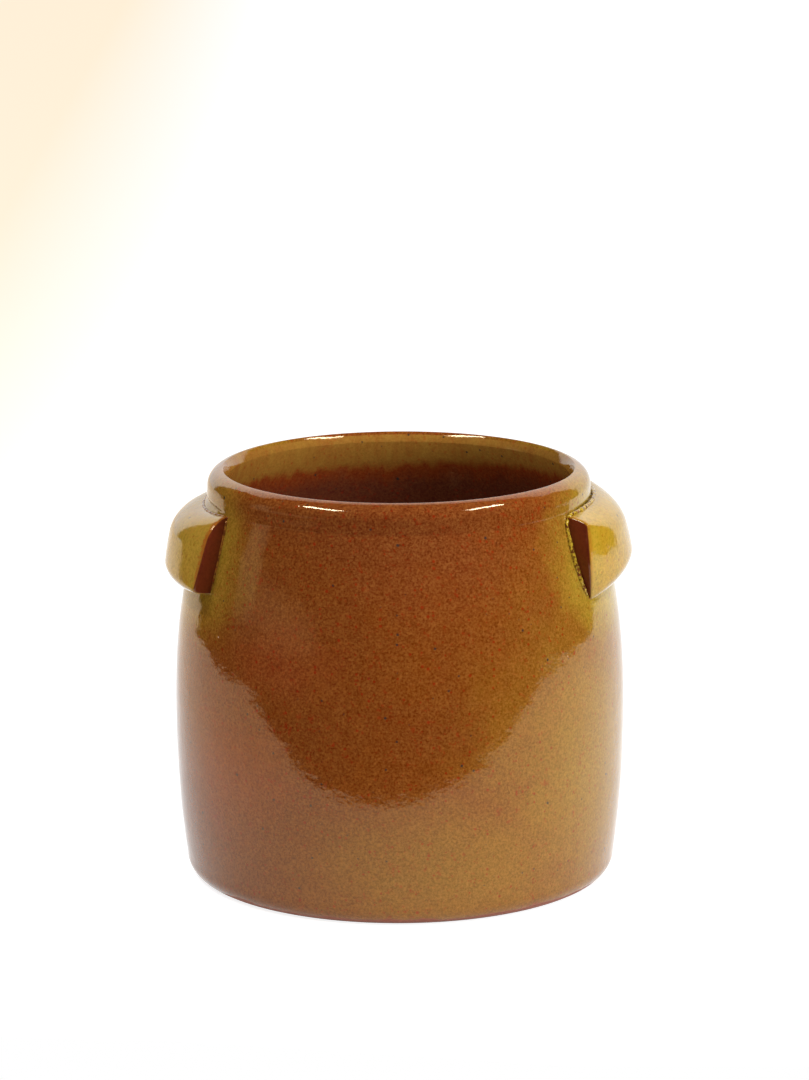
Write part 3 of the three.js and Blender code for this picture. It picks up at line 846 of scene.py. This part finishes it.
def bead_glaze(side):
    material, tree, shader, place = new_glaze(side + "_pooled_glaze_in_joint")
    flecks = group_node(tree, FLECKS, {"Vector": place, "Mottle per metre": 480.0})
    broken = put(tree, "ShaderNodeMapRange", {0: flecks["Mottle"], 1: 0.35, 2: 0.65})
    colour = mix_colours(tree, broken.outputs[0], BEADS[side]["low"], BEADS[side]["high"])
    colour = speckle_over(tree, colour, flecks, mottle=0.4)
    finish_glaze(tree, shader, colour, place, flecks, wave_depth=0.00012)
    return material


COIL = coil_tree()
for side, ear in (("left", LEFT_EAR), ("right", RIGHT_EAR)):
    bead = BEADS[side]
    points = bead_path(ear, bead["radius"] * bead["stand"], bead["aside"])
    line = bpy.data.curves.new(side + "_joint", "CURVE")
    line.dimensions = "3D"
    spline = line.splines.new("POLY")
    spline.points.add(len(points) - 1)
    for spot, point in zip(spline.points, points):
        spot.co = (*point, 1.0)
    piece = piece_from_tree(side + "_pressed_bead", line, COIL, {
        "Coil radius": bead["radius"],
        "Unevenness": bead["unevenness"],
        "Step": BEAD_STEP,
        "Seed": bead["seed"],
        "Glaze": bead_glaze(side),
    })
    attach(piece, "root")
    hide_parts(side + "_luting_bead")

# ----------------------------------------------------------------------
# The table and the light: a white table that ends a little in front of the pot, in a dark room
# with two soft boxes overhead, a broad soft light from the right and faint glows behind and at the
# left. The table's edge is what draws the dark vee that the belly's glaze reflects.
# ----------------------------------------------------------------------
TABLE_EDGE = [
    (-0.85, 0.60), (-0.85, -0.12), (-0.62, -0.215), (-0.36, -0.245), (-0.10, -0.265),
    (0.07, -0.300), (0.43, -0.308), (1.06, -0.325), (1.20, -0.10), (1.20, 0.60),
]
TABLE_BACK = [(4.0, 2.5), (4.0, 6.0), (-4.0, 6.0), (-4.0, 2.5)]
ROOM_WALL = [(-1.30, 1.05), (-1.30, -1.5), (1.60, -1.5), (1.60, 1.45)]
ROOM_FLOOR = -1.2
ROOM_CEILING = 1.7
CEILING_BACK = 0.94
WALL_BEYOND = (-1.30, 1.66)
WALL_BEYOND_FROM = 0.17
TABLE_LIT = (0.86, 0.86, 0.86, 1.0)
TABLE_SEEN = (0.45, 0.45, 0.45, 1.0)
TABLE_GLOW = 0.84
TABLE_WARM = (-0.18, -0.38)
TABLE_WARM_TINT = (1.0, 0.80, 0.58, 1.0)
# Soft lit panels that only reflections show. The curved wall behind has a radius, the height of its
# foot and top, and half its spread in degrees. Those at the left stand on edge before the dark wall.
LIGHT_WALL = {
    "radius": 2.4, "foot": 0.30, "top": 3.0, "spread": 78, "strength": 0.40,
    "tint": (1.0, 0.90, 0.74, 1),
}
LEFT_PANELS = [
    {"name": "low_glow_left", "x": -1.25, "y": (-1.45, -0.05), "z": (0.06, 0.40), "strength": 0.65,
     "tint": (1.0, 0.72, 0.48, 1)},
    {"name": "tall_glow_left", "x": -1.22, "y": (-0.24, 0.12), "z": (0.04, 0.84), "strength": 0.65,
     "tint": (1.0, 0.84, 0.60, 1)},
]
OVERHEAD = [
    {"name": "overhead_left", "at": (-0.62, -0.27, 1.19), "size": (0.46, 0.11), "power": 6.5},
    {"name": "overhead_right", "at": (0.69, -0.21, 1.15), "size": (0.46, 0.11), "power": 6.5},
]
SIDE_LIGHT = {"name": "side_light", "at": (1.7, -1.3, 1.1), "size": (1.3, 1.3), "power": 38.0}
SKY = 0.42
WALL_STEPS = 48
WALL_RISES = 24
AIM = Vector((0, 0, 0.12))


def flat_piece(name, points, faces, material):
    mesh = bpy.data.meshes.new(name)
    mesh.from_pydata(points, [], faces)
    mesh.materials.append(material)
    made = bpy.data.objects.new(name, mesh)
    bpy.context.scene.collection.objects.link(made)
    return made


def seen_as_background(tree):
    """1 for rays that come from the camera or from a reflection, and 0 for rays that only carry light."""
    ray = put(tree, "ShaderNodeLightPath").outputs
    either = maths(tree, "MAXIMUM", ray["Is Camera Ray"], ray["Is Glossy Ray"])
    return maths(tree, "MAXIMUM", either, ray["Is Transmission Ray"])


def table_material():
    """White that keeps only the deepest of the pot's shadow where it is seen."""
    material = bpy.data.materials.new("white_table")
    material.use_nodes = True
    tree = material.node_tree
    tree.nodes.clear()
    seen_here = seen_as_background(tree)
    paint = mix_colours(tree, seen_here, TABLE_LIT, TABLE_SEEN)
    place = put(tree, "ShaderNodeTexCoord").outputs["Object"]
    across = put(tree, "ShaderNodeSeparateXYZ", {0: place}).outputs["X"]
    warm = put(tree, "ShaderNodeMapRange", {0: across, 1: TABLE_WARM[0], 2: TABLE_WARM[1]})
    tint = mix_colours(tree, warm.outputs[0], (1, 1, 1, 1), TABLE_WARM_TINT)
    diffuse = put(tree, "ShaderNodeBsdfDiffuse", {"Color": paint})
    glow = put(tree, "ShaderNodeEmission", {
        "Color": tint, "Strength": maths(tree, "MULTIPLY", seen_here, TABLE_GLOW),
    })
    both = put(tree, "ShaderNodeAddShader", {0: diffuse.outputs[0], 1: glow.outputs[0]})
    put(tree, "ShaderNodeOutputMaterial", {"Surface": both.outputs[0]})
    return material


def dark_material():
    material = bpy.data.materials.new("dark_room")
    material.use_nodes = True
    shader = material.node_tree.nodes["Principled BSDF"]
    shader.inputs["Base Color"].default_value = (0.01, 0.01, 0.01, 1)
    shader.inputs["Roughness"].default_value = 1.0
    shader.inputs["Specular IOR Level"].default_value = 0.0
    return material


table_rim = TABLE_EDGE + TABLE_BACK
table_points = [(x, y, 0) for x, y in table_rim]
flat_piece("white_table_top", table_points, [range(len(table_rim))], table_material())

corners = len(ROOM_WALL)
room_points = [(x, y, level) for level in (ROOM_FLOOR, ROOM_CEILING) for x, y in ROOM_WALL]
room_points += [(ROOM_WALL[end][0], CEILING_BACK, ROOM_CEILING) for end in (-1, 0)]
room_points += [(*ROOM_WALL[0], WALL_BEYOND_FROM), (*WALL_BEYOND, WALL_BEYOND_FROM)]
room_points.append((*WALL_BEYOND, ROOM_CEILING))
room_faces = [(i, i + 1, i + 1 + corners, i + corners) for i in range(corners - 1)]
room_faces.append((corners, corners + 1, corners + 2, corners + 3, 2 * corners, 2 * corners + 1))
beyond = 2 * corners + 2
room_faces.append((beyond, corners, beyond + 2, beyond + 1))
room = flat_piece("dark_room_reflected", room_points, room_faces, dark_material())
room.visible_camera = False
room.visible_diffuse = False
room.visible_shadow = False
room.visible_transmission = False

world = bpy.data.worlds.new("pale_room")
bpy.context.scene.world = world
world.use_nodes = True
sky = world.node_tree
sky.nodes.clear()
strength = maths(sky, "MULTIPLY_ADD", seen_as_background(sky), 1.0 - SKY, SKY)
backdrop = put(sky, "ShaderNodeBackground", {"Color": (1, 1, 1, 1), "Strength": strength})
put(sky, "ShaderNodeOutputWorld", {"Surface": backdrop.outputs[0]})


def soft_box(name, at, size, power):
    lamp = bpy.data.lights.new(name, "AREA")
    lamp.shape = "RECTANGLE"
    lamp.size, lamp.size_y = size
    lamp.energy = power
    box = bpy.data.objects.new(name, lamp)
    box.location = at
    box.rotation_mode = "QUATERNION"
    box.rotation_quaternion = (AIM - box.location).to_track_quat("-Z", "Y")
    bpy.context.scene.collection.objects.link(box)
    return box


for lamp in OVERHEAD:
    soft_box(**lamp)
soft_box(**SIDE_LIGHT).visible_glossy = False


def glow_material(name, strength, tint):
    """A glow that follows how near each point is to the middle of its panel."""
    material = bpy.data.materials.new(name)
    material.use_nodes = True
    tree = material.node_tree
    tree.nodes.clear()
    near = put(tree, "ShaderNodeAttribute", attribute_name="near").outputs["Fac"]
    glow = put(tree, "ShaderNodeEmission", {
        "Color": tint, "Strength": maths(tree, "MULTIPLY", near, strength),
    })
    clear = put(tree, "ShaderNodeBsdfTransparent")
    both = put(tree, "ShaderNodeAddShader", {0: glow.outputs[0], 1: clear.outputs[0]})
    put(tree, "ShaderNodeOutputMaterial", {"Surface": both.outputs[0]})
    return material


def glow_panel(name, place_at, strength, tint):
    """A panel whose points are placed by their shares along and up, from 0 to 1, and that only glows."""
    points = []
    nears = []
    for step in range(WALL_STEPS + 1):
        for rise in range(WALL_RISES + 1):
            points.append(place_at(step / WALL_STEPS, rise / WALL_RISES))
            aside, above = 2 * step / WALL_STEPS - 1, 2 * rise / WALL_RISES - 1
            nears.append((1 - aside ** 4) * (1 - above ** 2) ** 1.5)
    faces = []
    for step in range(WALL_STEPS):
        for rise in range(WALL_RISES):
            a = step * (WALL_RISES + 1) + rise
            faces.append((a, a + 1, a + WALL_RISES + 2, a + WALL_RISES + 1))
    panel = flat_piece(name, points, faces, glow_material(name, strength, tint))
    panel.data.attributes.new("near", "FLOAT", "POINT").data.foreach_set("value", nears)
    panel.visible_camera = False
    panel.visible_diffuse = False
    panel.visible_shadow = False


def on_left_panel(panel):
    (y_from, y_to), (z_from, z_to) = panel["y"], panel["z"]
    return lambda along, up: (panel["x"], y_from + (y_to - y_from) * along, z_from + (z_to - z_from) * up)


def on_light_wall(along, up):
    turn = math.radians(90 + LIGHT_WALL["spread"] * (2 * along - 1))
    height = LIGHT_WALL["foot"] + (LIGHT_WALL["top"] - LIGHT_WALL["foot"]) * up
    return LIGHT_WALL["radius"] * math.cos(turn), LIGHT_WALL["radius"] * math.sin(turn), height


glow_panel("light_wall_behind", on_light_wall, LIGHT_WALL["strength"], LIGHT_WALL["tint"])
for panel in LEFT_PANELS:
    glow_panel(panel["name"], on_left_panel(panel), panel["strength"], panel["tint"])

# ----------------------------------------------------------------------
# The camera: a long lens, a little above the pot, that looks down on it by 14 degrees.
# ----------------------------------------------------------------------
PICTURE = (809, 1080)
MIDDLE_AT = (399.1, 667.4)
LOOK_DOWN = math.radians(14.3)
DISTANCE = 2.2
PIXELS_PER_METRE = 2042.0
PICTURE_ROLL = 0.27
SENSOR = 36.0

pixels_per_radian = PIXELS_PER_METRE * DISTANCE
eye = bpy.data.cameras.new("eye")
eye.sensor_fit = "AUTO"
eye.sensor_width = SENSOR
eye.lens = SENSOR * pixels_per_radian / PICTURE[1]
camera = bpy.data.objects.new("eye", eye)
pot_middle = Vector((0, 0, 0.1))
back = Vector((0, -math.cos(LOOK_DOWN), math.sin(LOOK_DOWN)))
camera.location = pot_middle + back * DISTANCE
to_right = math.atan((PICTURE[0] / 2 - MIDDLE_AT[0]) / pixels_per_radian)
to_top = math.atan((MIDDLE_AT[1] - PICTURE[1] / 2) / pixels_per_radian)
camera.rotation_mode = "QUATERNION"
camera.rotation_quaternion = (
    (-back).to_track_quat("-Z", "Y")
    @ Quaternion((0, 1, 0), -to_right)
    @ Quaternion((1, 0, 0), to_top)
    @ Quaternion((0, 0, 1), math.radians(-PICTURE_ROLL))
)
bpy.context.scene.collection.objects.link(camera)
bpy.context.scene.camera = camera
bpy.context.scene.view_settings.view_transform = "Standard"
